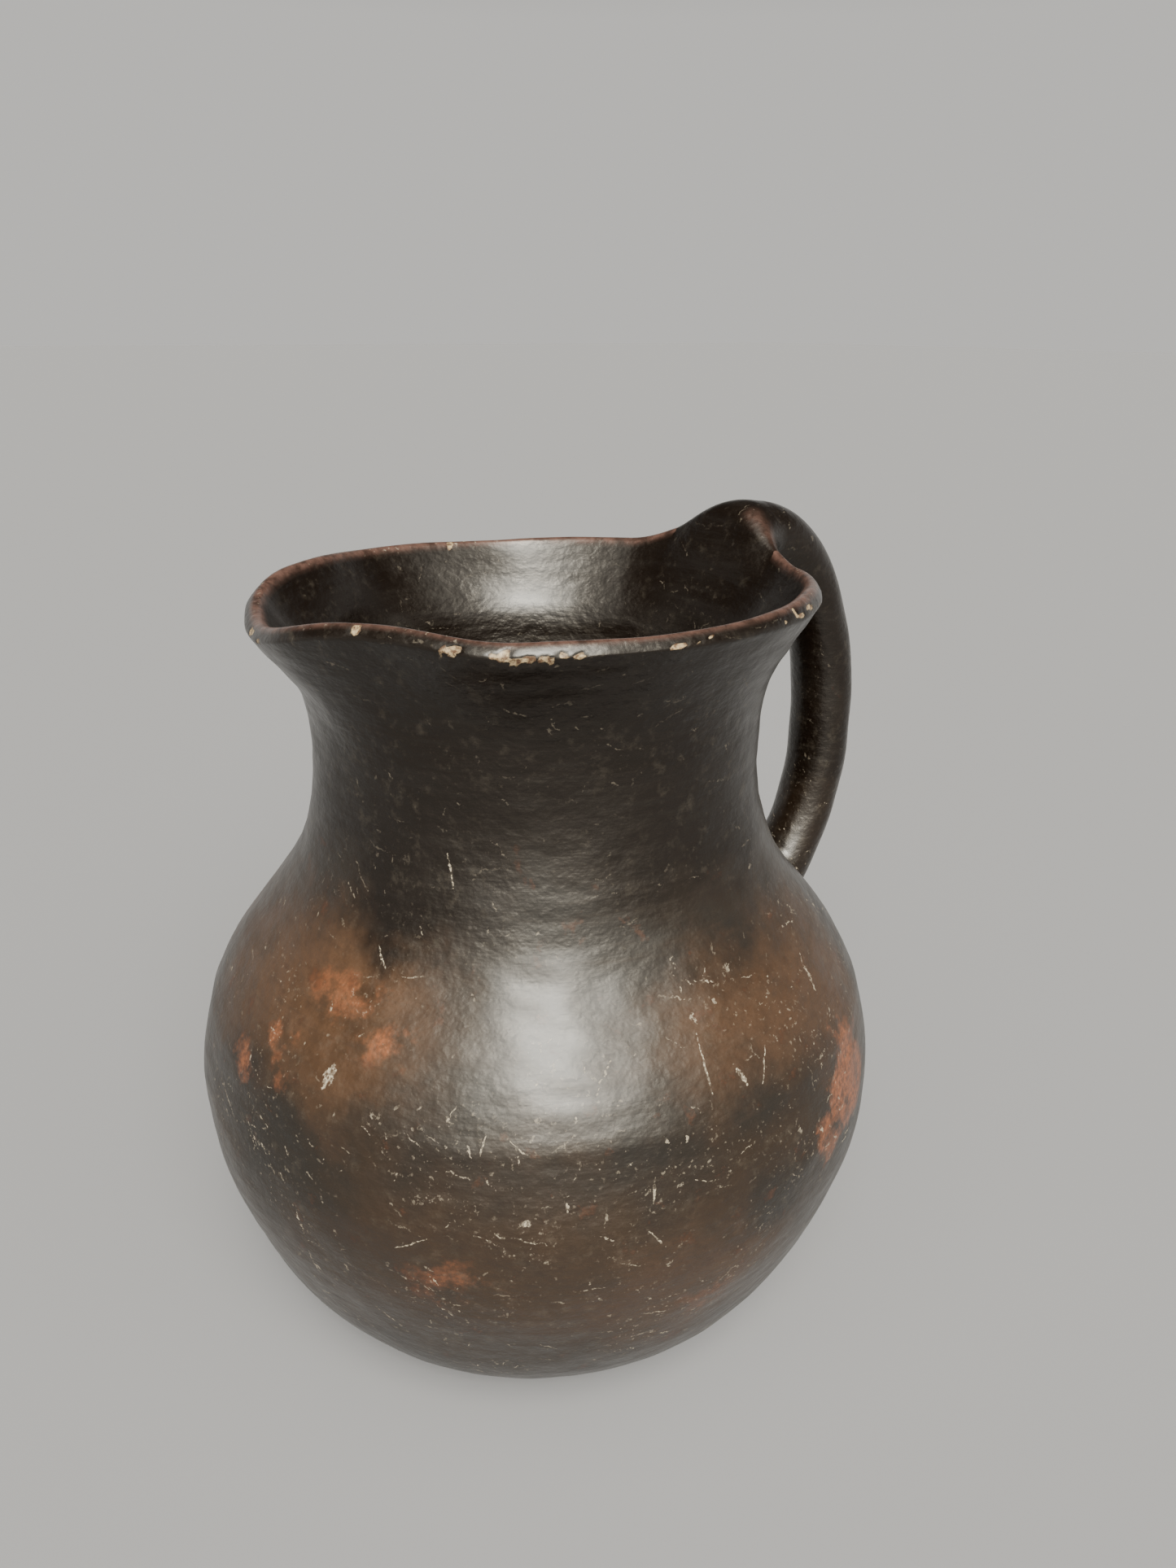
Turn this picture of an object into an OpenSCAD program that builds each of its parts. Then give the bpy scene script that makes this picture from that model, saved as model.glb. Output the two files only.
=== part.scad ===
// Coil-built blackware jug: a round belly, a short neck, a flared rim with a pinched
// spout and one loop handle. Millimetres, +Z up, the foot stands on z = 0 at the origin.
// The handle points along +X and the spout roughly along -X.

/* [Body] */
// Radius of the flat foot
foot_r = 40; // [30:1:50]
// Largest radius of the belly
belly_r = 89; // [80:1:100]
// Height of the largest radius
belly_z = 71; // [64:1:80]
// Smallest radius of the neck
neck_r = 55.5; // [50:0.5:62]
// Height of the smallest radius
neck_z = 158; // [152:1:162]
// Thickness of the base
base_t = 8; // [6:0.5:10]
// Thickness of the belly wall
belly_t = 6.2; // [5:0.1:8]
// Thickness of the neck wall
neck_t = 5.5; // [4.5:0.1:7]

/* [Rim] */
// Radius of the flared rim below its rounded lip
lip_r = 68; // [64:0.5:74]
// Height of the flared rim below its rounded lip
lip_z = 192.5; // [188:0.5:200]
// Thickness of the lip
lip_t = 4.6; // [3.5:0.1:6]
// How much wider the rim is along the handle's line than across it
rim_oval = 1.5; // [0:0.1:3]
// How far the rim plane leans up at one side and down at the other
rim_tilt = 1.5; // [0:0.1:3]
// How far the spout's tip hangs below the rim
spout_drop = 5; // [0:0.5:8]
// How far the spout's two cheeks are pinched in
spout_pinch = 4.2; // [0:0.1:6]
// How far the rim sweeps up to meet the handle
root_lift = 8.5; // [4:0.5:12]

/* [Handle] */
// Half the handle's width, across the loop
handle_a = 10; // [8:0.5:12]
// Half the handle's thickness, in the plane of the loop
handle_b = 9; // [7:0.5:11]
// How far out the middle of the handle stands
handle_x = 106; // [102:1:112]
// How far the handle's top is set to one side
handle_lean = 3; // [0:0.5:4]
// Thickness of the clay luted round the handle's ends
lute_t = 3; // [2:0.5:4]

/* [Hidden] */
$fn = 180;

// Heights on the outside where one coil was laid on the next
base_top = 38;
lower_top = 76;
upper_top = 94;
shoulder_top = 137;
neck_top = 166;
// How much higher a joint lies on the inside, where the upper coil laps over the lower
lap = 4;

// Tangent lengths of the outline's three curves
foot_pull = 22;
belly_pull = 33;
shoulder_pull = 40;
neck_pull_low = 46;
neck_pull_high = 18;
flare = [9, 14];
outline = [
    [[foot_r, 0], [foot_r + foot_pull, 0], [belly_r, belly_z - belly_pull], [belly_r, belly_z]],
    [[belly_r, belly_z], [belly_r, belly_z + shoulder_pull], [neck_r, neck_z - neck_pull_low],
     [neck_r, neck_z]],
    [[neck_r, neck_z], [neck_r, neck_z + neck_pull_high], [lip_r, lip_z] - flare, [lip_r, lip_z]]
];
wall_t = [[0, base_t], [40, 6.8], [90, belly_t], [neck_z, neck_t], [lip_z, lip_t]];

// Directions round the rim, from the handle
tilt_at = -100;
spout_at = 166;
spout_half = 34;
spout_in = 2;
cheek_at = 42;
cheek_half = 27;
cheek_lift = 1.5;
root_at = 4;
root_half = 28;

// The handle's centre line in its plane: from the rim to the widest point, then to the belly
root_path = [[64.5, 193.5], [72.5, 209.5], [handle_x, 193], [handle_x, 140]];
foot_path = [[handle_x, 140], [handle_x, 113], [handle_x - 9, 99.5], [79, 82]];
// The handle's thickness at the foot, as a part of that at the rim
handle_taper = 0.93;
// Where the lutes end on the centre line, which runs from 0 at the rim to 2 at the belly
root_lute_end = 0.3;
foot_lute_start = 1.62;
// Thickness of a lute's thin edge
lute_edge = 1;
// Slip-thin gap left where the handle and its lutes sit on the wall
slip = 0.03;

// Above everything, where the clay cut away over the mouth ends
column_top = 240;

coil_steps = 8;
lip_steps = 6;
rim_sides = 80;
handle_rings = 14;
handle_sides = 24;
lute_rings = 6;

// A point of a cubic curve, and its direction
function curve_at(p, t) =
    pow(1 - t, 3) * p[0] + 3 * t * pow(1 - t, 2) * p[1] + 3 * t * t * (1 - t) * p[2]
    + pow(t, 3) * p[3];
function curve_way(p, t) =
    let (d = pow(1 - t, 2) * (p[1] - p[0]) + 2 * t * (1 - t) * (p[2] - p[1])
             + t * t * (p[3] - p[2]))
    d / norm(d);

// The outline runs from u = 0 at the foot to u = 3 at the lip, as [radius, height]
function curve_of(u) = min(floor(u), 2);
function outer(u) = curve_at(outline[curve_of(u)], u - curve_of(u));
function way(u) = curve_way(outline[curve_of(u)], u - curve_of(u));
function inner(u) =
    let (o = outer(u), w = way(u))
    o - [w[1], -w[0]] * lookup(o[1], wall_t);

// Where the outline, or its inner face, reaches the height z
function u_at(z, lo = 0, hi = 3, n = 30) =
    let (u = (lo + hi) / 2)
    n == 0 ? u : outer(u)[1] < z ? u_at(z, u, hi, n - 1) : u_at(z, lo, u, n - 1);
function inner_u_at(z, lo = 0, hi = 3, n = 30) =
    let (u = (lo + hi) / 2)
    n == 0 ? u : inner(u)[1] < z ? inner_u_at(z, u, hi, n - 1) : inner_u_at(z, lo, u, n - 1);

function steps(a, b, n) = [for (i = [0 : n]) a + (b - a) * i / n];
function outer_between(z0, z1) = [for (u = steps(u_at(z0), u_at(z1), coil_steps)) outer(u)];
function inner_between(u0, u1) = [for (u = steps(u0, u1, coil_steps)) inner(u)];

// A soft bump of height 1 round the direction c, and a smooth step
function bump(a, c, half) =
    let (d = ((a - c + 540) % 360) - 180)
    abs(d) < half ? (1 + cos(180 * d / half)) / 2 : 0;
function ease(t) = let (k = max(0, min(1, t))) k * k * (3 - 2 * k);

// How far the rim's wall is moved out and up in the direction a
function rim_out(a) =
    rim_oval * cos(2 * a) - spout_in * bump(a, spout_at, spout_half)
    - spout_pinch * (bump(a, spout_at - cheek_at, cheek_half)
                     + bump(a, spout_at + cheek_at, cheek_half));
function rim_up(a) =
    rim_tilt * cos(a - tilt_at) - spout_drop * bump(a, spout_at, spout_half)
    + cheek_lift * (bump(a, spout_at - cheek_at, cheek_half)
                    + bump(a, spout_at + cheek_at, cheek_half))
    + root_lift * bump(a, root_at, root_half);
function waved(p, a) =
    let (k = ease((p[1] - neck_top) / (lip_z - neck_top)), r = p[0] + k * rim_out(a))
    [r * cos(a), r * sin(a), p[1] + k * rim_up(a)];

// The rim's section: up the outside, over the rounded lip, and down the inside
lip_mid = (outer(3) + inner(3)) / 2;
lip_out = (outer(3) - inner(3)) / 2;
lip_rise = way(3) * lip_t / 2;
rim_outside = [for (u = steps(u_at(neck_top), 3, coil_steps)) outer(u)];
rim_over = [for (i = [1 : lip_steps - 1])
            lip_mid + cos(180 * i / lip_steps) * lip_out + sin(180 * i / lip_steps) * lip_rise];
rim_inside = inner_between(3, inner_u_at(neck_top));
rim_section = concat(rim_outside, rim_over, rim_inside);

// A closed skin over rings of points, each ring the same number of points
module skin(rings, closed = false) {
    n = len(rings);
    m = len(rings[0]);
    sides = [for (i = [0 : closed ? n - 1 : n - 2]) for (j = [0 : m - 1])
             let (k = (i + 1) % n, l = (j + 1) % m)
             each [[i * m + j, k * m + j, k * m + l], [i * m + j, k * m + l, i * m + l]]];
    first = [for (j = [0 : m - 1]) j];
    last = [for (j = [m - 1 : -1 : 0]) (n - 1) * m + j];
    polyhedron([for (ring = rings) each ring], closed ? sides : concat([first, last], sides));
}

// One coil of the wall, between two lapped joints
module wall_coil(z0, z1) {
    rotate_extrude()
        polygon(concat(outer_between(z0, z1), inner_between(u_at(z1 + lap), u_at(z0 + lap))));
}

// A bowl pressed from one slab, flat underneath
module base_bowl() {
    color("#2b2623")
        rotate_extrude()
            polygon(concat([[0, 0]], outer_between(0, base_top),
                           inner_between(u_at(base_top + lap), 0), [[0, base_t]]));
}

module lower_belly_coil() {
    color("#3a2e27") wall_coil(base_top, lower_top);
}

module upper_belly_coil() {
    color("#4b3528") wall_coil(lower_top, upper_top);
}

module shoulder_coil() {
    color("#40302a") wall_coil(upper_top, shoulder_top);
}

// The neck's coil is cut level at its top, where the rim's coil stands on it
module neck_coil() {
    color("#241d1a")
        rotate_extrude()
            polygon(concat(outer_between(shoulder_top, neck_top),
                           inner_between(inner_u_at(neck_top), u_at(shoulder_top + lap))));
}

// The last coil, drawn out to the flare and pinched to a spout
module rim_and_spout() {
    color("#332926")
        skin([for (i = [0 : rim_sides - 1])
              [for (p = rim_section) waved(p, 360 * i / rim_sides)]], closed = true);
}

// The wall below the rim as one solid, a slip's thickness proud
module wall_seat() {
    levels = [base_top, lower_top, upper_top, shoulder_top];
    grown = [for (i = [0 : 2]) for (u = steps(u_at(levels[i]), u_at(levels[i + 1]), coil_steps))
             outer(u) + [way(u)[1], -way(u)[0]] * slip];
    low = grown[0][1];
    high = grown[len(grown) - 1][1];
    rotate_extrude() polygon(concat([[0, low]], grown, [[0, high]]));
}

// The rim as one solid up to its crest, with a column above its mouth
module rim_seat() {
    proud = [for (p = concat(rim_outside, [for (i = [0 : lip_steps / 2]) rim_over[i]]))
             p + [slip, 0]];
    turns = [for (i = [0 : rim_sides - 1]) 360 * i / rim_sides];
    crest = [for (a = turns) waved(proud[len(proud) - 1], a)];
    skin(concat([for (p = proud) [for (a = turns) waved(p, a)]],
                [[for (p = crest) [p[0], p[1], column_top]]]));
}

// The handle's section at the distance s along its centre line, 0 to 2, grown by g
function handle_ring(s, g = 0) =
    let (p = s < 1 ? root_path : foot_path,
         t = s < 1 ? s : s - 1,
         c = curve_at(p, t),
         w = curve_way(p, t),
         k = 1 - (1 - handle_taper) * s / 2,
         y = handle_lean * (1 - s / 2))
    [for (j = [0 : handle_sides - 1])
     let (a = 360 * j / handle_sides,
          b = (handle_b * k + g) * cos(a))
     [c[0] + b * w[1], y + (handle_a * k + g) * sin(a), c[1] - b * w[0]]];

// A lute's thickness, from its thin edge at k = 0 to the wall at k = 1
function lute_at(k) = lute_edge + (lute_t - lute_edge) * ease(k);

module handle_body() {
    skin([for (i = [0 : 2 * handle_rings]) handle_ring(i / handle_rings)]);
}

// The loop handle, cut where it sits on the wall and on the rim
module handle() {
    color("#1f1a18")
        difference() {
            handle_body();
            wall_seat();
            rim_seat();
        }
}

// Clay luted round the handle under the rim
module handle_root_lute() {
    color("#2f2724")
        difference() {
            skin([for (s = steps(0, root_lute_end, lute_rings))
                  handle_ring(s, lute_at(1 - s / root_lute_end))]);
            handle_body();
            rim_seat();
        }
}

// Clay luted round the handle on the belly
module handle_foot_lute() {
    color("#2f2724")
        difference() {
            skin([for (s = steps(foot_lute_start, 2, lute_rings))
                  handle_ring(s, lute_at((s - foot_lute_start) / (2 - foot_lute_start)))]);
            handle_body();
            wall_seat();
        }
}

base_bowl();
lower_belly_coil();
upper_belly_coil();
shoulder_coil();
neck_coil();
rim_and_spout();
handle();
handle_root_lute();
handle_foot_lute();
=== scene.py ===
import itertools
import math
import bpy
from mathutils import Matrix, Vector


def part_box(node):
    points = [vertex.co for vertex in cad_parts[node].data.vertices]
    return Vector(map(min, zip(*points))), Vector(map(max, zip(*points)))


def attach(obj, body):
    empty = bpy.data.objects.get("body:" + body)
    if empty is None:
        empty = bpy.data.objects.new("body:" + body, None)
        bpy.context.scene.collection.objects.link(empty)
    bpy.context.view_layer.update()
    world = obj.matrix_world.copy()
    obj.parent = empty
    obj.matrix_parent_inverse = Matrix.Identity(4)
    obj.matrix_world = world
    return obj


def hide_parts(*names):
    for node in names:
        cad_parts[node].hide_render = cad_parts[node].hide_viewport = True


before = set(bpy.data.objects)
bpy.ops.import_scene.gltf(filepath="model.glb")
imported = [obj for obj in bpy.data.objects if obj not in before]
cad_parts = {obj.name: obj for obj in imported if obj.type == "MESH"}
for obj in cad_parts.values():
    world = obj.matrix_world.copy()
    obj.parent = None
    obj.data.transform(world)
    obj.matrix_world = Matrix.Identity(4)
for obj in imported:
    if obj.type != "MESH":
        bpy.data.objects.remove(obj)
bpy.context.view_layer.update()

from types import SimpleNamespace

import bpy
import numpy as np
from mathutils import Matrix, Vector

# A hand-built, burnished black clay jug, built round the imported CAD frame. Lengths are in
# millimetres in the frame's own axes, and become metres when a mesh or a light is made.
MM = 0.001

# ---------------------------------------------------------------- sizes, as in the CAD
FOOT_R = 40.0
BELLY_R, BELLY_Z = 89.0, 71.0
NECK_R, NECK_Z = 55.5, 158.0
LIP_R, LIP_Z, LIP_T = 68.0, 192.5, 4.6
FLARE = (9.0, 14.0)
FOOT, BELLY, NECK, LIP = (FOOT_R, 0), (BELLY_R, BELLY_Z), (NECK_R, NECK_Z), (LIP_R, LIP_Z)
OUTLINE = np.array([
    [FOOT, (FOOT_R + 22, 0), (BELLY_R, BELLY_Z - 33), BELLY],
    [BELLY, (BELLY_R, BELLY_Z + 40), (NECK_R, NECK_Z - 46), NECK],
    [NECK, (NECK_R, NECK_Z + 18), (LIP_R - FLARE[0], LIP_Z - FLARE[1]), LIP],
])
WALL_HEIGHTS = (0.0, 40.0, 90.0, NECK_Z, LIP_Z)
WALL_THICKNESS = (8.0, 6.8, 6.2, 5.5, LIP_T)
FLOOR_Z = WALL_THICKNESS[0]
LAP = 4.0

RIM_OVAL, RIM_TILT, TILT_AT = 1.5, 1.5, -100.0
SPOUT_AT, SPOUT_HALF, SPOUT_IN, SPOUT_DROP = 166.0, 34.0, 2.0, 5.0
CHEEK_AT, CHEEK_HALF, CHEEK_IN, CHEEK_LIFT = 42.0, 27.0, 4.2, 1.5
ROOT_AT, ROOT_HALF, ROOT_LIFT = 4.0, 28.0, 8.5

HANDLE_A, HANDLE_B, HANDLE_X = 10.0, 9.0, 106.0
HANDLE_LEAN, HANDLE_TAPER = 3.0, 0.93
HANDLE_PATHS = np.array([
    [(64.5, 193.5), (72.5, 209.5), (HANDLE_X, 193), (HANDLE_X, 140)],
    [(HANDLE_X, 140), (HANDLE_X, 113), (HANDLE_X - 9, 99.5), (79, 82)],
])

WALL_NODES = ["base_bowl", "lower_belly_coil", "upper_belly_coil", "shoulder_coil",
              "neck_coil", "rim_and_spout"]
JOINT_Z = [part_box(name)[0].z / MM for name in WALL_NODES[1:]]
NECK_TOP = JOINT_Z[-1]

# ---------------------------------------------------------------- mesh densities
AROUND = 448
OUTER_STEP, INNER_STEP, RIM_STEP = 1.5, 3.2, 1.0
FLAT_RINGS = (2.0, 9.0, 18.0, 27.0, 34.0)
LIP_ROWS = 13
LINE_STEPS = 400
HANDLE_AROUND, HANDLE_ROWS, HANDLE_SCAN = 72, 170, 60
PAD_CELL, COARSE = 1.0, 4


# ---------------------------------------------------------------- curves
def cubic(p, t):
    """Points of a cubic curve, p as (n, 4, 2) and t as (n,)."""
    t = t[:, None]
    return ((1 - t) ** 3 * p[:, 0] + 3 * t * (1 - t) ** 2 * p[:, 1]
            + 3 * t * t * (1 - t) * p[:, 2] + t ** 3 * p[:, 3])


def cubic_way(p, t):
    """Directions of a cubic curve, each of length 1."""
    t = t[:, None]
    d = ((1 - t) ** 2 * (p[:, 1] - p[:, 0]) + 2 * t * (1 - t) * (p[:, 2] - p[:, 1])
         + t * t * (p[:, 3] - p[:, 2]))
    return d / np.linalg.norm(d, axis=1, keepdims=True)


def along(curves, u):
    """Points and directions at u, which runs from 0 to the number of curves."""
    u = np.clip(np.atleast_1d(u), 0, len(curves))
    part = np.minimum(np.floor(u).astype(int), len(curves) - 1)
    return cubic(curves[part], u - part), cubic_way(curves[part], u - part)


def outer_line(u):
    """Outer wall as (radius, height), and its outward normal."""
    p, w = along(OUTLINE, u)
    return p, np.stack([w[:, 1], -w[:, 0]], 1)


def inner_line(u):
    """Inner wall as (radius, height), and its normal into the hollow."""
    p, n = outer_line(u)
    return p - n * np.interp(p[:, 1], WALL_HEIGHTS, WALL_THICKNESS)[:, None], -n


def reach(line, height):
    """The u where a line of the wall reaches a height."""
    low, high = 0.0, 3.0
    for _ in range(40):
        mid = (low + high) / 2
        low, high = (mid, high) if line(mid)[0][0, 1] < height else (low, mid)
    return low


def ease(t):
    """0 to 1 with soft ends."""
    t = np.clip(t, 0, 1)
    return t * t * (3 - 2 * t)


def bump(angle, centre, half):
    """A soft bump of height 1 round a direction in degrees."""
    d = (angle - centre + 540) % 360 - 180
    return np.where(np.abs(d) < half, (1 + np.cos(np.pi * d / half)) / 2, 0)


def cheeks(a):
    """The two places beside the spout where the rim is pinched in."""
    return sum(bump(a, SPOUT_AT + side * CHEEK_AT, CHEEK_HALF) for side in (-1, 1))


def rim_out(a):
    """How far the rim stands out of a round at an angle."""
    spout = bump(a, SPOUT_AT, SPOUT_HALF)
    return RIM_OVAL * np.cos(np.radians(2 * a)) - SPOUT_IN * spout - CHEEK_IN * cheeks(a)


def rim_up(a):
    """How far the rim stands over its own level at an angle."""
    tilt = RIM_TILT * np.cos(np.radians(a - TILT_AT))
    spout, root = bump(a, SPOUT_AT, SPOUT_HALF), bump(a, ROOT_AT, ROOT_HALF)
    return tilt - SPOUT_DROP * spout + CHEEK_LIFT * cheeks(a) + ROOT_LIFT * root


def rim_share(z):
    """How much of the rim's wave a height takes: none at the neck, all at the lip."""
    return ease((z - NECK_TOP) / (LIP_Z - NECK_TOP))


def waved(r, z, a):
    """Turned (radius, height) at the angle a to a place on the waved jug."""
    k = rim_share(z)
    r = r + k * rim_out(a)
    t = np.radians(a)
    return np.stack([r * np.cos(t), r * np.sin(t), z + k * rim_up(a)], -1)


def unwaved(p):
    """A place on the waved jug back to (radius, height)."""
    a = np.degrees(np.arctan2(p[:, 1], p[:, 0]))
    out, up = rim_out(a), rim_up(a)
    z = p[:, 2].copy()
    for _ in range(8):
        z = p[:, 2] - rim_share(z) * up
    return np.stack([np.hypot(p[:, 0], p[:, 1]) - rim_share(z) * out, z], 1)


# ---------------------------------------------------------------- the potter's hand
def ripple(p, length, seed, squash=1.0, waves=24):
    """Smooth noise of about height 1 with bumps `length` across, flattened upright by squash."""
    rng = np.random.default_rng(seed)
    way = rng.normal(size=(waves, 3))
    way /= np.linalg.norm(way, axis=1, keepdims=True)
    way *= np.array([1, 1, squash]) * 2 * np.pi / length
    phase = rng.uniform(0, 2 * np.pi, waves)
    return np.sin(p @ way.T + phase).sum(-1) * math.sqrt(2 / waves)


# How deep the wall is scraped flat between two coil joints, from the second coil up
FACETS = (0.3, 0.28, 0.35, 0.2)
# Where the wall is fuller than the plain outline: how much, at what height, over what half height
FULLER = ((1.1, 108, 32), (1.5, 22, 20))
# Creases at the coil joints, in the mesh and again in the bump, which makes them crisp: the
# height, and how much steeper the wall gets just below it
CREASES = ((94, 0.13), (137, 0.05), (76, 0.03))
CREASE_FADE = 8.0
# How far the uneven skin is set in, and the height up to which the foot stays true
SET_IN, FOOT_TRUE = 0.15, 14.0


def coil_facets(z):
    """The wall is scraped a little flat between the coil joints, which stay slightly proud."""
    depth = np.zeros_like(z)
    for low, high, deep in zip(JOINT_Z[:-1], JOINT_Z[1:], FACETS):
        arch = np.abs(np.sin(np.pi * (z - low) / (high - low))) ** 0.8
        depth += np.where((z > low) & (z < high), deep * arch, 0)
    return depth


def creases(z):
    """The dent below each crease, which fades out downwards."""
    below = [(steeper, np.minimum(z - joint, 0)) for joint, steeper in CREASES]
    return sum(steeper * under * np.exp(under / CREASE_FADE) for steeper, under in below)


def hand_outside(p):
    """How far the outside stands proud of the turned shape."""
    z = p[..., 2]
    uneven = 0.22 * ripple(p, 95, 1) + 0.13 * ripple(p, 36, 2, 1.5) + 0.045 * ripple(p, 13, 3, 2.5)
    made = uneven - coil_facets(z + 1.2 * ripple(p, 70, 5)) + creases(z) - SET_IN
    fuller = sum(much * ease(1 - np.abs(z - at) / half) for much, at, half in FULLER)
    return made * ease(z / FOOT_TRUE) + fuller


def hand_inside(p):
    """How far the inside stands proud."""
    return 0.3 * ripple(p, 70, 11) + 0.12 * ripple(p, 24, 12, 2) + 0.02 * ripple(p, 30, 13, 7)


def hand_handle(p):
    """How far the handle's skin stands proud of its plain coil."""
    return 0.2 * ripple(p, 42, 21) + 0.07 * ripple(p, 15, 22) - SET_IN


# ---------------------------------------------------------------- meshes
def make_piece(name, points, faces, normals=None):
    """A closed mesh in metres from points in millimetres, with a normal for each face corner."""
    name = name + "_clay"
    mesh = bpy.data.meshes.new(name)
    mesh.from_pydata((np.asarray(points) * MM).tolist(), [], [list(f) for f in faces])
    mesh.validate()
    mesh.update()
    mesh.polygons.foreach_set("use_smooth", [True] * len(mesh.polygons))
    if normals is not None:
        mesh.normals_split_custom_set(np.asarray(normals).tolist())
    piece = bpy.data.objects.new(name, mesh)
    bpy.context.scene.collection.objects.link(piece)
    return piece


def ring_faces(low, high, count):
    """Quads between two rings of points that start at the indices low and high."""
    j = np.arange(count)
    k = (j + 1) % count
    return np.stack([low + j, low + k, high + k, high + j], 1)


def fan_faces(middle, ring, count, flip=False):
    """Triangles from a middle point to the ring of points that starts at the index ring."""
    a = ring + np.arange(count)
    b = ring + (np.arange(count) + 1) % count
    return np.stack([np.full(count, middle), *((b, a) if flip else (a, b))], 1).tolist()


def spaced(line, u0, u1, step):
    """Values from u0 to u1 that lie about `step` apart along a line."""
    u = np.linspace(u0, u1, LINE_STEPS)
    p = line(u)[0]
    run = np.concatenate([[0], np.cumsum(np.linalg.norm(np.diff(p, axis=0), axis=1))])
    return np.interp(np.linspace(0, run[-1], max(2, round(run[-1] / step) + 1)), run, u)


# The lip's direction along its arc: shares of the way over it, and degrees turned from outwards
LIP_SHARES, LIP_TURNS = (0, 0.14, 0.5, 1), (0, 62, 76, 180)


def lip_line(parts, outer, inner, normal):
    """The lip between two ends: a tight outer corner, a rubbed face, then a full round."""
    share = np.linspace(0, 1, LINE_STEPS + 1)
    turn = np.radians(np.interp(share, LIP_SHARES, LIP_TURNS))
    step = np.stack([-np.sin(turn), np.cos(turn)], 1)
    run = np.vstack([[0, 0], np.cumsum((step[1:] + step[:-1]) / 2, axis=0)])
    run -= share[:, None] * [0, run[-1, 1]]
    run *= np.linalg.norm(inner - outer) / -run[-1, 0]
    pick = np.linspace(0, LINE_STEPS, parts + 1).round().astype(int)[1:-1]
    rise = np.array([-normal[1], normal[0]])
    spots = outer + run[pick, :1] * normal + run[pick, 1:] * rise
    turn = turn[pick, None]
    return spots, np.cos(turn) * normal + np.sin(turn) * rise


def wall_rows():
    """Rows of the whole wall from the foot's middle, over the lip, to the floor's middle.

    Returns the rows as (radius, height, normal radius, normal height, inside share), and the
    first row of each coil's outside and inside."""
    outer_joint = [reach(outer_line, z) for z in JOINT_Z]
    lapped = [reach(outer_line, z + LAP) for z in JOINT_Z[:-1]]
    rows = [(r, 0, 0, -1, 0) for r in FLAT_RINGS]
    starts = []
    edges = [0.0, *outer_joint, 3.0]
    last = len(WALL_NODES) - 1
    for i, (u0, u1) in enumerate(zip(edges[:-1], edges[1:])):
        starts.append(len(rows) if i else 0)
        step = RIM_STEP if i == last else OUTER_STEP
        p, n = outer_line(spaced(outer_line, u0, u1, step)[: None if i == last else -1])
        rows += [(*a, *b, 0) for a, b in zip(p, n)]
    out_end, out_n = outer_line(3.0)
    in_end, _ = inner_line(3.0)
    lip = zip(*lip_line(LIP_ROWS + 1, out_end[0], in_end[0], out_n[0]))
    for i, (spot, normal) in enumerate(lip):
        rows.append((*spot, *normal, (i + 1) / (LIP_ROWS + 1)))
    edges = [3.0, reach(inner_line, NECK_TOP), *reversed(lapped), 0.0]
    inside_starts = []
    for i, (u0, u1) in enumerate(zip(edges[:-1], edges[1:])):
        inside_starts.append(len(rows))
        step = RIM_STEP if i == 0 else INNER_STEP
        p, n = inner_line(spaced(inner_line, u0, u1, step)[: None if i == last else -1])
        rows += [(*a, *b, 1) for a, b in zip(p, n)]
    rows += [(r, FLOOR_Z, 0, 1, 1) for r in reversed(FLAT_RINGS)]
    return np.array(rows), starts, inside_starts


# Chips along the lip: angle from the handle, half length, how far round the lip from its outer
# edge, half width, depth
CHIPS = (
    (-157, 1.3, 2.6, 1.1, 0.25), (-138.5, 1.9, 0.7, 1.3, 0.4), (-129.2, 2.2, 0.4, 1.1, 0.3),
    (-126.6, 2.8, 0.2, 1.0, 0.35), (-121.8, 2.0, 0.1, 0.9, 0.3), (-119.0, 2.6, 0.3, 0.9, 0.3),
    (-116.8, 1.0, 0.5, 0.6, 0.25), (-99, 2.3, 0.9, 0.6, 0.125), (-93, 1.4, 1.7, 0.5, 0.125),
    (-72, 0.5, 1.2, 0.9, 0.15), (-67.5, 0.4, 2.0, 1.1, 0.175), (-66, 0.9, 1.0, 0.6, 0.15),
    (-61, 1.6, 1.8, 0.5, 0.175), (-57.5, 0.7, 2.6, 0.7, 0.15), (-53, 0.4, 1.5, 1.0, 0.15),
    (168, 1.8, 1.6, 1.0, 0.25), (176, 1.2, 0.6, 1.0, 0.2), (143, 1.8, 1.5, 1.2, 0.3),
    (112, 2.8, 0.6, 1.0, 0.35), (78, 1.4, 5.6, 1.2, 0.25), (47, 2.0, 0.8, 1.1, 0.3),
)
LIP_ARC = math.pi * LIP_T / 2
# The rubbed band on the lip: its middle and half its width, in shares of the lip's arc
RUB_AT, RUB_HALF = 0.68, 0.3
# Only the foot and the floor have normals this close to upright
LEVEL = 0.9999


def chipping(place, arc, angle):
    """How much of each place on the lip is chipped away, 0 to 1, and how deep it goes."""
    ragged = 0.4 * ripple(place, 3.0, 31, waves=16)
    share, deep = np.zeros(arc.shape), np.zeros(arc.shape)
    for at, long, across, wide, depth in CHIPS:
        side = np.radians((angle - at + 540) % 360 - 180) * LIP_R
        away = np.hypot(side / long, (arc - across) / wide) + ragged
        mask = ease((1.25 - away) / 0.7)
        share = np.maximum(share, mask)
        deep = np.maximum(deep, mask * depth)
    return share, deep


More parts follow.
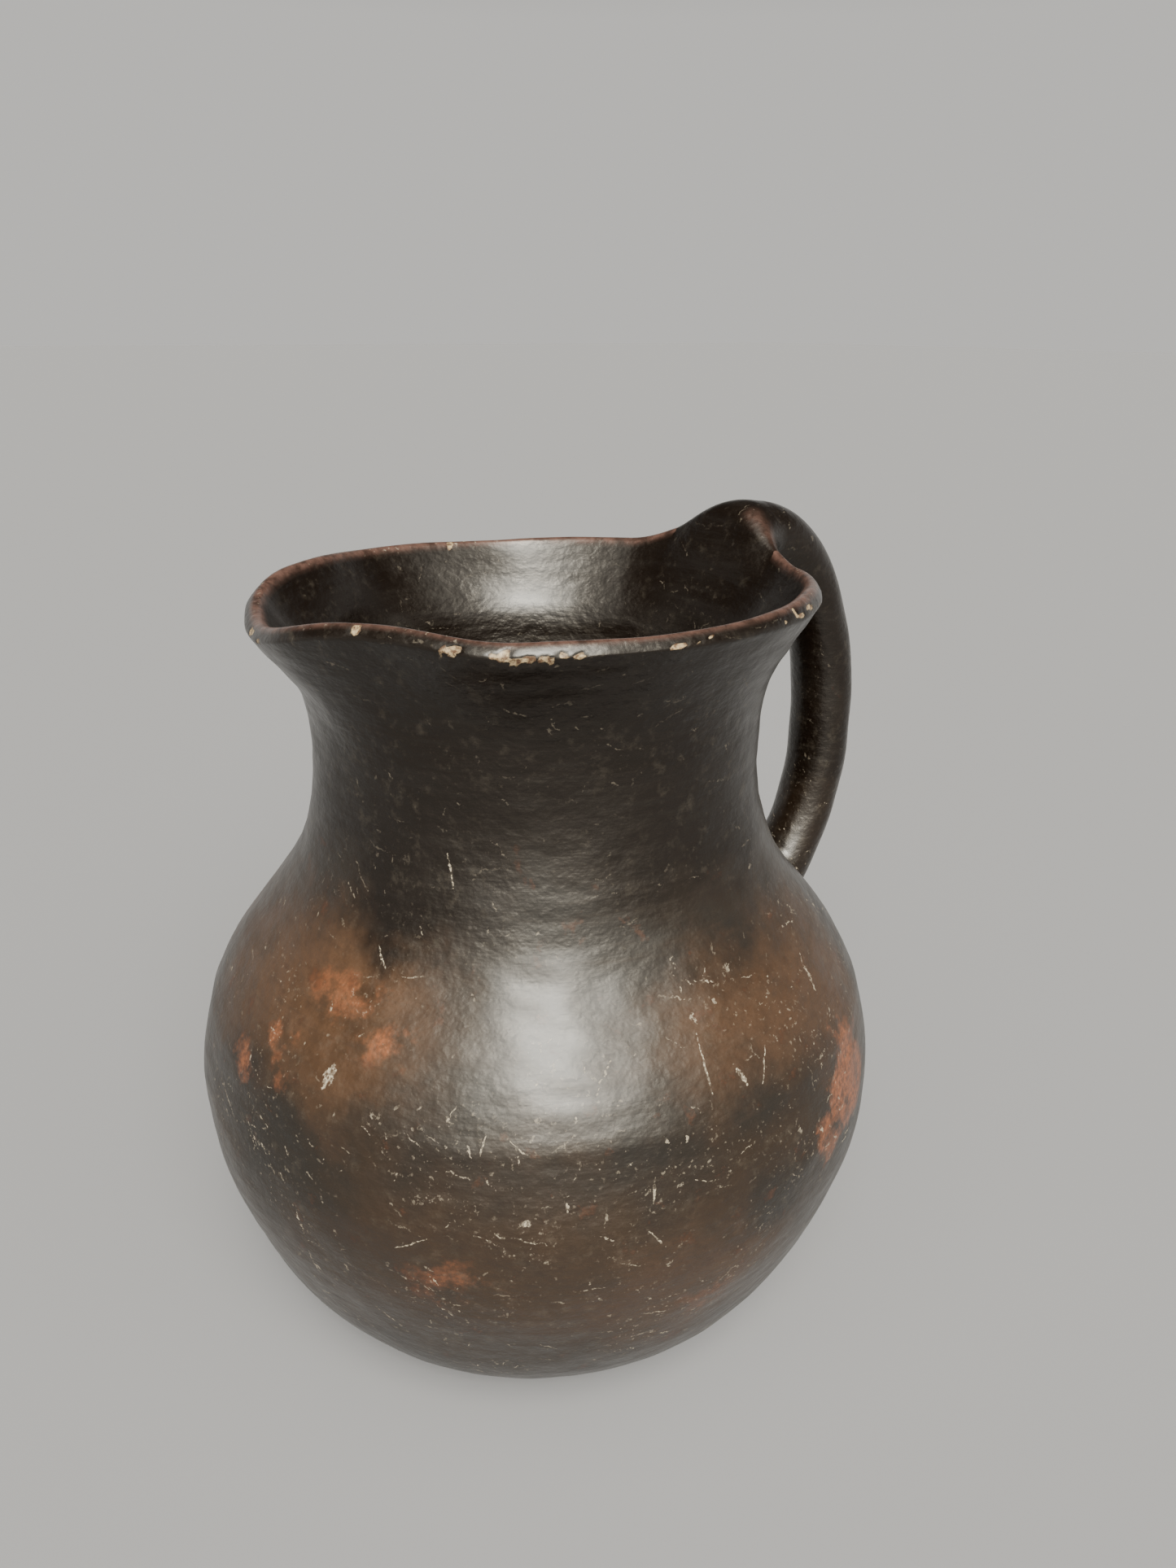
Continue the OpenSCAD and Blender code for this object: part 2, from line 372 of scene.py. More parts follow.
def wall_grid(rows):
    """Places, normals, lip wear and chips of the wall's rows all the way round."""
    a = np.arange(AROUND) * 360 / AROUND
    angle = np.broadcast_to(a, (len(rows), AROUND))
    place = waved(rows[:, 0, None], rows[:, 1, None], a)
    t = np.radians(angle)
    out = np.stack([rows[:, 2, None] * np.cos(t), rows[:, 2, None] * np.sin(t),
                    np.broadcast_to(rows[:, 3, None], t.shape)], -1)
    share = rows[:, 4, None]
    proud = (1 - share) * hand_outside(place) + share * hand_inside(place)
    level = np.abs(rows[:, 3, None]) > LEVEL
    proud = np.where(level, np.minimum(proud, 0) * share, proud)
    run = np.concatenate([[0], np.cumsum(np.hypot(*np.diff(rows[:, :2], axis=0).T))])
    outer_end = np.flatnonzero(rows[:, 4] > 0)[0] - 1
    arc = np.broadcast_to((run - run[outer_end])[:, None], angle.shape)
    chip, deep = np.zeros(arc.shape), np.zeros(arc.shape)
    lip = np.abs(arc[:, 0] - LIP_ARC / 2) < LIP_ARC
    chip[lip], deep[lip] = chipping(place[lip], arc[lip], angle[lip])
    edge = ease(1.3 - np.abs(arc - RUB_AT * LIP_ARC) / (RUB_HALF * LIP_ARC))
    place = place + out * (proud - deep)[..., None]
    down = np.gradient(place, axis=0)
    onward = (np.roll(place, -1, 1) - np.roll(place, 1, 1)) / 2
    normal = np.cross(onward, down)
    normal /= np.linalg.norm(normal, axis=-1, keepdims=True)
    return place, normal, np.stack([edge, chip], -1)


def coil_loops(i, starts, inside, row_count):
    """A coil's rows: over the lip as one loop, or down the outside and then the inside."""
    last = len(WALL_NODES) - 1
    if i == last:
        return [range(starts[i], inside[1] + 1)]
    inside_end = inside[last - i + 1] + 1 if i else row_count
    return [range(starts[i], starts[i + 1] + 1), range(inside[last - i], inside_end)]


def coil_quads(loops, joint_below):
    """A coil's quads, and whether each is skin, which is smooth, or a joint, which is flat."""
    faces, skin, at = [], [], 0
    for loop in loops:
        for k in range(len(loop) - 1):
            faces.append(ring_faces(at + k * AROUND, at + (k + 1) * AROUND, AROUND))
            skin.append(True)
        at += len(loop) * AROUND
    if len(loops) == 2:
        join = len(loops[0]) * AROUND
        faces.append(ring_faces(join - AROUND, join, AROUND))
        skin.append(False)
    if joint_below:
        faces.append(ring_faces(at - AROUND, 0, AROUND))
        skin.append(False)
    return np.concatenate(faces), np.repeat(skin, AROUND)


def build_wall():
    """One closed piece for each coil of the wall, with normals that match across the joints."""
    rows, starts, inside = wall_rows()
    place, normal, wear = wall_grid(rows)
    pieces = {}
    for i, node in enumerate(WALL_NODES):
        loops = coil_loops(i, starts, inside, len(rows))
        picked = [r for loop in loops for r in loop]
        points = place[picked].reshape(-1, 3)
        quads, skin = coil_quads(loops, joint_below=i > 0)
        p = points[quads]
        flat = np.cross(p[:, 1] - p[:, 0], p[:, 3] - p[:, 0])
        flat /= np.linalg.norm(flat, axis=1, keepdims=True)
        corners = np.where(skin[:, None, None], normal[picked].reshape(-1, 3)[quads],
                           flat[:, None]).reshape(-1, 3)
        faces = quads.tolist()
        if i == 0:
            count = len(points)
            points = np.vstack([points, [[0, 0, 0]], [[0, 0, FLOOR_Z]]])
            faces += fan_faces(count, 0, AROUND, flip=True)
            faces += fan_faces(count + 1, count - AROUND, AROUND)
            for up in (-1, 1):
                corners = np.vstack([corners, np.tile([0, 0, up], (3 * AROUND, 1))])
        pieces[node] = make_piece(node, points, faces, corners)
    # The rim, which is built last, carries the lip's wear
    for k, name in enumerate(("edge", "chip")):
        layer = pieces[node].data.attributes.new(name, "FLOAT", "POINT")
        layer.data.foreach_set("value", wear[picked][..., k].ravel())
    return pieces


# ---------------------------------------------------------------- distances to the clay
OUT_ROWS, LIP_PARTS = 149, 17
FAR = 14.0
CHUNK = 300


def section_line():
    """The wall's section from the shoulder up, over the lip and back down, as one line."""
    u = np.linspace(0.2, 3.0, OUT_ROWS + 1)
    out, n = outer_line(u)
    inn = inner_line(u)[0]
    return np.vstack([out, lip_line(LIP_PARTS, out[-1], inn[-1], n[-1])[0], inn[::-1]])


SECTION = section_line()


def nearest_on_line(q, line):
    """Distance from each point to a line of points, the segment's index and the place on it."""
    start, way = line[:-1], np.diff(line, axis=0)
    long = (way * way).sum(1)
    away, which, share = [], [], []
    for i in range(0, len(q), CHUNK):
        off = q[i:i + CHUNK, None] - start
        t = np.clip((off * way).sum(-1) / long, 0, 1)
        d = ((off - t[..., None] * way) ** 2).sum(-1)
        k = d.argmin(1)
        rows = np.arange(len(k))
        away.append(np.sqrt(d[rows, k]))
        which.append(k)
        share.append(t[rows, k])
    return np.concatenate(away), np.concatenate(which), np.concatenate(share)


def wall_distance(p, solid=False):
    """Signed distance to the wall's clay, negative inside it; a solid jug counts as full."""
    q = unwaved(p)
    high = SECTION[:OUT_ROWS + 1, 1] if solid else SECTION[:, 1]
    near = np.flatnonzero((high > q[:, 1].min() - FAR) & (high < q[:, 1].max() + FAR))
    line = SECTION[near[0]:near[-1] + 1]
    best, k, t = nearest_on_line(q, line)
    way = line[k + 1] - line[k]
    off = q - line[k] - t[:, None] * way
    inside = way[:, 0] * off[:, 1] - way[:, 1] * off[:, 0] > 0
    part = near[0] + k + t
    share = np.clip((part - OUT_ROWS) / LIP_PARTS, 0, 1)
    proud = (1 - share) * hand_outside(p) + share * hand_inside(p)
    return np.where(inside, -best, best) - proud


def handle_frame(s):
    """Centre line places, directions across it in the loop's plane, sizes, and its own way."""
    c, w = along(HANDLE_PATHS, s)
    s = np.atleast_1d(s)
    centre = np.stack([c[:, 0], HANDLE_LEAN * (1 - s / 2), c[:, 1]], 1)
    across = np.stack([w[:, 1], np.zeros(len(s)), -w[:, 0]], 1)
    way = np.stack([w[:, 0], np.zeros(len(s)), w[:, 1]], 1)
    return centre, across, 1 - (1 - HANDLE_TAPER) * s / 2, way


CENTRE_S = np.linspace(0, 2, 161)
CENTRE = handle_frame(CENTRE_S)[0]
ROOT_WAY = handle_frame(0.0)[3]
# How round the coil's end is, and how far along the loop it is looked for
END_ROUND, END_PART = 4.0, 0.6


def handle_distance(p):
    """Signed distance to the handle's coil."""
    _, k, t = nearest_on_line(p, CENTRE)
    s = CENTRE_S[k] + t * (CENTRE_S[1] - CENTRE_S[0])
    c, across, k, _ = handle_frame(s)
    x = ((p - c) * across).sum(1)
    y = (p - c)[:, 1]
    a, b = HANDLE_A * k, HANDLE_B * k
    q = np.sqrt((x / b) ** 2 + (y / a) ** 2) + 1e-9
    side = q * (q - 1) / np.sqrt((x / b ** 2) ** 2 + (y / a ** 2) ** 2 + 1e-12) - hand_handle(p)
    start = np.where(s < END_PART, -((p - CENTRE[0]) * ROOT_WAY).sum(1), -FAR)
    return soft_max(side, start, END_ROUND)


def soft_min(a, b, k):
    """The lower of two values, rounded over where they are less than k apart."""
    h = np.clip(1 - np.abs(a - b) / k, 0, 1)
    return np.minimum(a, b) - h * h * k / 4


def soft_max(a, b, k):
    return -soft_min(-a, -b, k)


# The luted clay: node, how wide it spreads, whether it is at the mouth, and the box it lies in
LUTES = (("handle_root_lute", 11.0, True, (46, -30, 170), (100, 36, 214)),
         ("handle_foot_lute", 9.0, False, (62, -28, 56), (112, 30, 122)))
# Where the handle's clay ends at the mouth, how deep a lute's hidden side lies in the wall and in
# the handle, and how far its thin edge sinks in
MOUTH_EDGE, MOUTH_ROUND = 65.0, 6.0
BURIED = 2.6
SINK = 0.12
# How far the coil stays clear of the rim and of the mouth's edge, where the lute covers its end
CLEAR_OF_RIM, CLEAR_OF_MOUTH = 1.0, 2.0


def joined(p, blend, at_mouth):
    """Distance to wall and handle run together, and to each of the two."""
    wall = wall_distance(p, not at_mouth)
    loop = handle_distance(p)
    if at_mouth:
        loop = soft_max(loop, MOUTH_EDGE - unwaved(p)[:, 0], MOUTH_ROUND)
    return soft_min(wall, loop, blend), wall, loop


def lute_field(p, blend, at_mouth):
    """Negative inside a lute: the run-together clay, sunk away where it fades out."""
    both, wall, loop = joined(p, blend, at_mouth)
    faded = np.abs(wall - loop) / blend
    sunk = both + SINK * ease(faded) + blend * np.maximum(faded - 1, 0)
    return np.maximum(sunk, np.maximum(-(wall + BURIED), -(loop + BURIED)))


def slope(field, p, h=0.08):
    """Gradient of a field by small steps."""
    steps = np.eye(3) * h
    return np.stack([(field(p + d) - field(p - d)) / (2 * h) for d in steps], 1)


def cut_surface(field, low, high, cell):
    """A closed mesh of field = 0: each cube of a grid is six tetrahedra, and each is cut flat."""
    axes = [np.arange(a, b + cell, cell) for a, b in zip(low, high)]
    grid = np.stack(np.meshgrid(*axes, indexing="ij"), -1)
    shape = grid.shape[:3]
    rough = field(grid[::COARSE, ::COARSE, ::COARSE].reshape(-1, 3))
    rough = rough.reshape([-(-n // COARSE) for n in shape])
    spread = [np.minimum((np.arange(n) + COARSE // 2) // COARSE, m - 1)
              for n, m in zip(shape, rough.shape)]
    value = rough[np.ix_(*spread)]
    close = np.abs(value) < 1.2 * COARSE * cell
    value[close] = field(grid[close])
    spot, value = grid.reshape(-1, 3), value.ravel()
    stride = np.array([shape[1] * shape[2], shape[2], 1])
    cubes = np.stack(np.meshgrid(*[np.arange(n - 1) for n in shape], indexing="ij"), -1) @ stride
    corner = np.array([i * stride[0] + j * stride[1] + k
                       for i in (0, 1) for j in (0, 1) for k in (0, 1)])
    cubes = cubes.ravel()
    full = (value[cubes[:, None] + corner] < 0).sum(1)
    cubes = cubes[(full > 0) & (full < 8)]
    triangles = []
    for order in itertools.permutations(stride):
        tet = cubes[:, None] + np.cumsum([0, *order])
        tet = np.take_along_axis(tet, np.argsort(value[tet] >= 0, axis=1, kind="stable"), 1)
        inside = (value[tet] < 0).sum(1)
        one, two, three = (tet[inside == n] for n in (1, 2, 3))
        triangles += [one[:, [0, 1, 0, 2, 0, 3]], three[:, [0, 3, 1, 3, 2, 3]],
                      two[:, [0, 2, 0, 3, 1, 3]], two[:, [0, 2, 1, 3, 1, 2]]]
    ends = np.concatenate(triangles).reshape(-1, 3, 2)
    half = spot[ends].mean(2)
    way = spot[ends[..., 1]].sum(1) - spot[ends[..., 0]].sum(1)
    flip = (np.cross(half[:, 1] - half[:, 0], half[:, 2] - half[:, 0]) * way).sum(1) < 0
    ends[flip] = ends[flip][:, ::-1]
    edges, faces = np.unique(ends.reshape(-1, 2), axis=0, return_inverse=True)
    inner, outer = value[edges[:, 0]], value[edges[:, 1]]
    t = np.clip(inner / (inner - outer), 0.02, 0.98)[:, None]
    return spot[edges[:, 0]] * (1 - t) + spot[edges[:, 1]] * t, faces.reshape(-1, 3)


def build_lute(name, blend, at_mouth, low, high):
    """The clay luted into the corner between handle and wall, as one closed piece."""
    def field(p):
        return lute_field(p, blend, at_mouth)

    points, faces = cut_surface(field, low, high, PAD_CELL)
    for _ in range(3):
        g = slope(field, points)
        step = field(points)[:, None] * g / np.maximum((g * g).sum(1, keepdims=True), 0.2)
        points = points - np.clip(step, -0.4, 0.4)
    g = slope(lambda p: joined(p, blend, at_mouth)[0], points)
    skin = joined(points, blend, at_mouth)[0] > -0.5
    own = slope(field, points)
    normal = np.where(skin[:, None], g, own)
    normal /= np.linalg.norm(normal, axis=1, keepdims=True)
    return make_piece(name, points, faces.tolist(), normal[faces].reshape(-1, 3))


def build_handle():
    """The rolled coil, ending inside the wall at the belly and inside the root's lute.

    Each line along the skin is followed from the loop's middle to where it meets the clay."""
    t = np.arange(HANDLE_AROUND) * 2 * np.pi / HANDLE_AROUND

    def skin(s):
        c, across, k, _ = handle_frame(s)
        return (c + across * (HANDLE_B * k * np.cos(t))[:, None]
                + np.array([0, 1, 0]) * (HANDLE_A * k * np.sin(t))[:, None])

    def outside(s, deep):
        p = skin(s)
        clear = wall_distance(p, deep > 0) + deep
        return np.minimum(clear, np.hypot(p[:, 0], p[:, 1]) - MOUTH_EDGE - CLEAR_OF_MOUTH)

    ends = []
    for target, deep in ((0.0, -CLEAR_OF_RIM), (2.0, BURIED)):
        step = (target - 1) / (HANDLE_SCAN - 1)
        free = np.full(HANDLE_AROUND, 1.0)
        for s in np.linspace(1.0, target, HANDLE_SCAN)[1:]:
            ahead = np.full(HANDLE_AROUND, s)
            reached = np.abs(free - (s - step)) < 1e-9
            free = np.where((outside(ahead, deep) > 0) & reached, ahead, free)
        hit = free + step
        for _ in range(20):
            half = (free + hit) / 2
            clear = outside(half, deep) > 0
            free, hit = np.where(clear, half, free), np.where(clear, hit, half)
        ends.append(free)
    rows = []
    for v in np.linspace(0, 1, HANDLE_ROWS):
        s = ends[0] * (1 - v) + ends[1] * v
        p = skin(s)
        c = handle_frame(s)[0]
        out = p - c
        out /= np.linalg.norm(out, axis=1, keepdims=True)
        rows.append(p + out * hand_handle(p)[:, None])
    place = np.array(rows)
    points = np.vstack([place.reshape(-1, 3), [place[0].mean(0)], [place[-1].mean(0)]])
    count = HANDLE_ROWS * HANDLE_AROUND
    faces = [ring_faces(i, i + HANDLE_AROUND, HANDLE_AROUND).tolist()
             for i in range(0, count - HANDLE_AROUND, HANDLE_AROUND)]
    faces = [*itertools.chain(*faces), *fan_faces(count, 0, HANDLE_AROUND, flip=True),
             *fan_faces(count + 1, count - HANDLE_AROUND, HANDLE_AROUND)]
    return make_piece("handle", points, faces)


# ---------------------------------------------------------------- camera, lights and floor
CAM_AWAY, CAM_UP, CAM_ROUND = 280.8, 253.2, -124.0
CAM_PITCH, CAM_YAW, CAM_ROLL = 21.46, 2.70, 0.47
CAM_LENS, CAM_SENSOR = 27.05, 36.0

# Suns, all from the same side: name, degrees up, degrees wide, power
SUNS = (("key_core", 43, 18, 5.0), ("key_top", 56, 18, 1.3), ("key", 43, 46, 7.4),
        ("glow", 46, 96, 3.8))
SUNS_ROUND = CAM_ROUND + 6
SUN_COLOUR = (1, 0.99, 0.91)
# The world has the horizon's colour up to SKY_LOW and the sky's from SKY_HIGH, both sines of an
# angle up. The horizon is as bright as the lit floor, so that no line shows
HORIZON, SKY = (0.625, 0.612, 0.585), (0.06, 0.06, 0.06)
SKY_LOW, SKY_HIGH = 0.2, 0.45
FLOOR_COLOUR, FLOOR_ROUGH, FLOOR_HALF = (0.145, 0.1425, 0.146), 0.7, 12000


def make_camera():
    """A camera where the photographer's was: close, above the rim and tilted down."""
    a = math.radians(CAM_ROUND)
    place = Vector((CAM_AWAY * math.cos(a), CAM_AWAY * math.sin(a), CAM_UP)) * MM
    turn = a + math.pi - math.radians(CAM_YAW)
    tip = math.radians(CAM_PITCH)
    level = math.cos(tip)
    ahead = Vector((math.cos(turn) * level, math.sin(turn) * level, -math.sin(tip)))
    right = ahead.cross(Vector((0, 0, 1))).normalized()
    up = right.cross(ahead)
    roll = math.radians(CAM_ROLL)
    right, up = (math.cos(roll) * right + math.sin(roll) * up,
                 math.cos(roll) * up - math.sin(roll) * right)
    data = bpy.data.cameras.new("camera")
    data.lens = CAM_LENS
    data.sensor_width = CAM_SENSOR
    data.clip_start = 0.01
    camera = bpy.data.objects.new("camera", data)
    axes = Matrix((right, up, -ahead)).transposed().to_4x4()
    camera.matrix_world = Matrix.Translation(place) @ axes
    bpy.context.scene.collection.objects.link(camera)
    bpy.context.scene.camera = camera


def make_sun(name, around, up, wide, power):
    """A soft, even light from an angle round from the handle and up from the floor, in degrees."""
    data = bpy.data.lights.new(name, "SUN")
    data.energy = power
    data.angle = math.radians(wide)
    data.color = SUN_COLOUR
    lamp = bpy.data.objects.new(name, data)
    a, e = math.radians(around), math.radians(up)
    towards = Vector((math.cos(a) * math.cos(e), math.sin(a) * math.cos(e), math.sin(e)))
    lamp.location = towards
    lamp.rotation_mode = "QUATERNION"
    lamp.rotation_quaternion = (-towards).to_track_quat("-Z", "Y")
    bpy.context.scene.collection.objects.link(lamp)


# ---------------------------------------------------------------- clay material
WANDER_SIZE, WANDER = 15.0, 26.0


class Nodes:
    """Short calls that add and link shader nodes."""

    def __init__(self, material):
        material.use_nodes = True
        self.tree = material.node_tree
        self.shader = self.tree.nodes["Principled BSDF"]
        place = self.tree.nodes.new("ShaderNodeTexCoord").outputs["Object"]
        self.mm = self.vector("SCALE", place, scale=1000)
        wander = self.add("ShaderNodeTexNoise", {"Vector": self.mm, "Scale": 1 / WANDER_SIZE,
                                                 "Detail": 4.0, "Roughness": 0.62})
        wander = self.vector("SUBTRACT", wander.outputs["Color"], (0.5, 0.5, 0.5))
        self.wandering = self.vector("ADD", self.mm, self.vector("SCALE", wander, scale=WANDER))
        self.grain = self.span(self.noise(0.9, 2.0, seed=33), 0.3, 0.7, -0.4, 0.6)

    def add(self, kind, inputs=None, **settings):
        node = self.tree.nodes.new(kind)
        for key, value in settings.items():
            setattr(node, key, value)
        for key, value in (inputs or {}).items():
            self.put(node.inputs[key], value)
        return node

    def put(self, socket, value):
        if isinstance(value, bpy.types.NodeSocket):
            self.tree.links.new(value, socket)
        else:
            socket.default_value = value

    def math(self, operation, a, b=0.0, c=0.0, clamp=False):
        node = self.add("ShaderNodeMath", {0: a, 1: b, 2: c}, operation=operation, use_clamp=clamp)
        return node.outputs[0]

    def vector(self, operation, a, b=(0, 0, 0), scale=None):
        inputs = {0: a, 1: b} if scale is None else {0: a, "Scale": scale}
        node = self.add("ShaderNodeVectorMath", inputs, operation=operation)
        return node.outputs["Value" if operation in ("DOT_PRODUCT", "DISTANCE") else "Vector"]

    def stretched(self, x, y, z):
        return self.vector("MULTIPLY", self.mm, (x, y, z))

    def noise(self, size, detail=3.0, rough=0.55, place=None, seed=0.0):
        """Soft noise about 0.5, with bumps of the given size in millimetres."""
        place = self.vector("ADD", place or self.mm, (seed, seed * 0.7, -seed))
        node = self.add("ShaderNodeTexNoise", {"Vector": place, "Scale": 1 / size,
                                               "Detail": detail, "Roughness": rough})
        return node.outputs["Fac"]

    def span(self, value, low, high, to_low=0.0, to_high=1.0):
        """Value spread from low..high to to_low..to_high with soft ends."""
        node = self.add("ShaderNodeMapRange", {0: value, 1: low, 2: high, 3: to_low, 4: to_high},
                        interpolation_type="SMOOTHSTEP")
        return node.outputs[0]

    def mix(self, share, a, b):
        node = self.add("ShaderNodeMix", data_type="RGBA")
        self.put(node.inputs["Factor"], share)
        for socket, value in ((node.inputs[6], a), (node.inputs[7], b)):
            self.put(socket, (*value, 1) if isinstance(value, tuple) else value)
        return node.outputs[2]

    def plus(self, total, value, share):
        """A total with a share of a value added."""
        return self.math("ADD", total, self.math("MULTIPLY", value, share))

    def both(self, *shares):
        """Where all the shares are: their product."""
        total = shares[0]
        for share in shares[1:]:
            total = self.math("MULTIPLY", total, share)
        return total

    def most(self, *shares):
        """Where any of the shares is: the highest."""
        total = shares[0]
        for share in shares[1:]:
            total = self.math("MAXIMUM", total, share)
        return total

    def cloud(self, around, height, radius, blur, flat):
        """A blurred, wandering spot at an angle from the handle and a height: a fire cloud, in two
        places partly a painted reflection.
        """
        a = math.radians(around)
        wide = radius_at(height)
        centre = (wide * math.cos(a), wide * math.sin(a), height)
        off = self.vector("SUBTRACT", self.wandering, centre)
        off = self.vector("MULTIPLY", off, (1, 1, flat))
        away = self.vector("DISTANCE", off, (0, 0, 0))
        return self.span(away, radius + blur / 2, radius - blur / 2)

    def line(self, start, end, radius, blur):
        """A blurred line between two points."""
        run = Vector(end) - Vector(start)
        off = self.vector("SUBTRACT", self.mm, start)
        share = self.vector("DOT_PRODUCT", off, run)
        share = self.math("DIVIDE", share, run.length_squared, clamp=True)
        away = self.vector("DISTANCE", off, self.vector("SCALE", run, scale=share))
        return self.span(away, radius + blur / 2, radius - blur / 2)

    def mark(self, around, height, long, wide, lean, ragged):
        """One pale mark: where it is, half its length and width, and its lean off the vertical."""
        a, t = math.radians(around), math.radians(lean)
        wall = radius_at(height)
        off = self.vector("SUBTRACT", self.mm, (wall * math.cos(a), wall * math.sin(a), height))
        run = (-math.sin(a) * math.sin(t), math.cos(a) * math.sin(t), math.cos(t))
        side = (-math.sin(a) * math.cos(t), math.cos(a) * math.cos(t), -math.sin(t))
        run = self.math("DIVIDE", self.vector("DOT_PRODUCT", off, run), long)
        side = self.math("ADD", self.vector("DOT_PRODUCT", off, side), ragged)
        return self.lens(run, self.math("DIVIDE", side, wide))

    def lens(self, run, side):
        """1 inside a tapered stroke, where run and side are both under 1."""
        away = self.math("ADD", self.math("MULTIPLY", run, run), self.math("MULTIPLY", side, side))
        return self.span(self.math("ADD", away, self.grain), 1.0, 0.5)

    def scratches(self, size, length, width, share, seed, ragged, lie=(1, 1, 1)):
        """Fine broken scratches, one in some of the cells of a cell pattern."""
        place = self.vector("ADD", self.mm, (seed, -seed, seed * 0.5))
        cell = self.add("ShaderNodeTexVoronoi", {"Vector": place, "Scale": 1 / size})
        off = self.vector("SUBTRACT", place, cell.outputs["Position"])
        pick = self.vector("SUBTRACT", cell.outputs["Color"], (0.5, 0.5, 0.5))
        way = self.vector("NORMALIZE", self.vector("MULTIPLY", pick, lie))
        across = self.math("ADD", self.vector("DOT_PRODUCT", off, way), ragged)
        away = self.vector("DISTANCE", off, (0, 0, 0))
        kind = self.add("ShaderNodeSeparateColor", {"Color": cell.outputs["Color"]})
        shorter = self.span(kind.outputs[2], 0, 1, 2.2 / length, 0.9 / length)
        run = self.math("MULTIPLY", away, shorter)
        line = self.lens(run, self.math("DIVIDE", across, width))
        chosen = self.math("LESS_THAN", kind.outputs[1], share)
        return self.both(line, chosen, self.span(kind.outputs[0], 0, 1, 0.3, 1.0))


def radius_at(height):
    """The wall's outer radius at a height."""
    return outer_line(reach(outer_line, height))[0][0, 0]


# The clay's colours: smoked, sooty, less smoked, hardly smoked, red fired (at the belly's
# right-hand edge partly a painted reflection), rubbed (on the root's crest partly a painted
# sheen), scratched and chipped
BLACK = (0.0023, 0.0011, 0.0005)
SOOT = (0.0056, 0.0045, 0.0036)
BROWN = (0.0115, 0.0064, 0.0032)
TAN = (0.0440, 0.0220, 0.0110)
ORANGE = (0.130, 0.043, 0.0175)
PINK = (0.066, 0.035, 0.027)
WORN = (0.20, 0.168, 0.125)
BARE = (0.215, 0.160, 0.092)

# Fire clouds, two of them partly a painted reflection: angle from the handle, height, radius,
# blur, how flat, strength
BROWN_CLOUDS = ((-160, 114, 24, 30, 1.2, 1.0), (172, 112, 20, 28, 1.2, 0.7),
                (-134, 62, 34, 44, 1.2, 0.2), (-90, 110, 20, 26, 1.6, 0.75),
                (-64, 106, 22, 28, 1.2, 0.7), (-100, 52, 24, 30, 1.2, 0.5),
                (120, 96, 38, 40, 1.0, 0.8), (60, 74, 40, 40, 1.0, 0.7),
                (10, 44, 34, 36, 1.0, 0.6))
ORANGE_CLOUDS_AND_REFLECTION = ((-158, 114, 6.5, 14, 1.3, 0.75), (-150, 110, 6.5, 13, 1.4, 0.85),
                 (-165, 116, 5, 11, 1.3, 0.5), (-170, 103, 4, 8, 1.0, 0.75),
                 (-178, 95, 4.5, 7, 1.0, 0.75), (-167, 95, 3.5, 9, 1.0, 0.6),
                 # These two lie on the belly's right-hand edge as the camera sees it: their orange
                 # is partly fired clay and partly a painted reflection of red surroundings
                 (-65, 84, 12, 10, 0.8, 1.0), (-75, 75, 6, 8, 0.8, 0.9),
                 (-137, 61, 9, 18, 1.4, 0.45), (-98, 49, 7, 16, 1.2, 0.32),
                 (150, 84, 10, 14, 1.0, 0.7), (95, 64, 16, 18, 1.0, 0.7),
                 (38, 100, 13, 16, 1.2, 0.6))
SOOT_CLOUDS = ((-167, 82, 15, 20, 1.4, 0.8), (-148, 97, 9, 14, 2.0, 0.6),
               (-120, 128, 24, 24, 1.3, 0.75), (-87, 72, 12, 18, 1.4, 0.85),
               (-130, 26, 24, 26, 1.0, 0.4), (90, 120, 22, 24, 1.0, 0.7),
               (20, 70, 20, 24, 1.2, 0.7))
# Single pale marks: angle, height, half length, half width, lean
MARKS = ((-158, 102, 2.6, 1.3, 16), (-143, 144, 4.0, 0.32, -14), (-97, 105, 6.5, 0.3, 2),
         (-91, 101, 3.0, 0.6, -28), (-86, 101, 4.2, 0.2, 35), (-108, 84, 3.0, 0.4, 6),
         (-108, 73, 3.8, 0.25, -38), (-156, 124, 2.6, 0.3, -40), (-148, 122, 3.6, 0.2, 80),
         (-126, 80, 1.7, 0.8, 80), (-132, 96, 2.4, 0.2, 12), (-142, 72, 5.0, 0.2, 62))
# The handle root's crest, from one point to the other, painted pink: partly rubbed clay, partly a
# painted sheen
ROOT_CREST_WEAR_AND_SHEEN = ((68, -19, 197), (67, -5, 206))
# How black each clay is all over, from 0 to 1
DARK = {"body_clay": 0.0, "rim_clay": 0.68, "handle_clay": 0.7}


def clay_noises(n):
    """The height, and the noises that colour, gloss and relief share."""
    patchy = n.noise(17, 3.0, 0.6, seed=31)
    return SimpleNamespace(
        height=n.add("ShaderNodeSeparateXYZ", {0: n.mm}).outputs[2],
        broad=n.noise(46, 5.0, 0.62, seed=3),
        mottle=n.noise(7, 5.0, 0.65, seed=9),
        fine=n.noise(1.1, 3.0, 0.6, seed=21),
        streak=n.noise(1.0, 4.0, 0.6, place=n.stretched(0.05, 0.05, 0.5), seed=5),
        patchy=patchy, dusty=n.span(patchy, 0.42, 0.62))


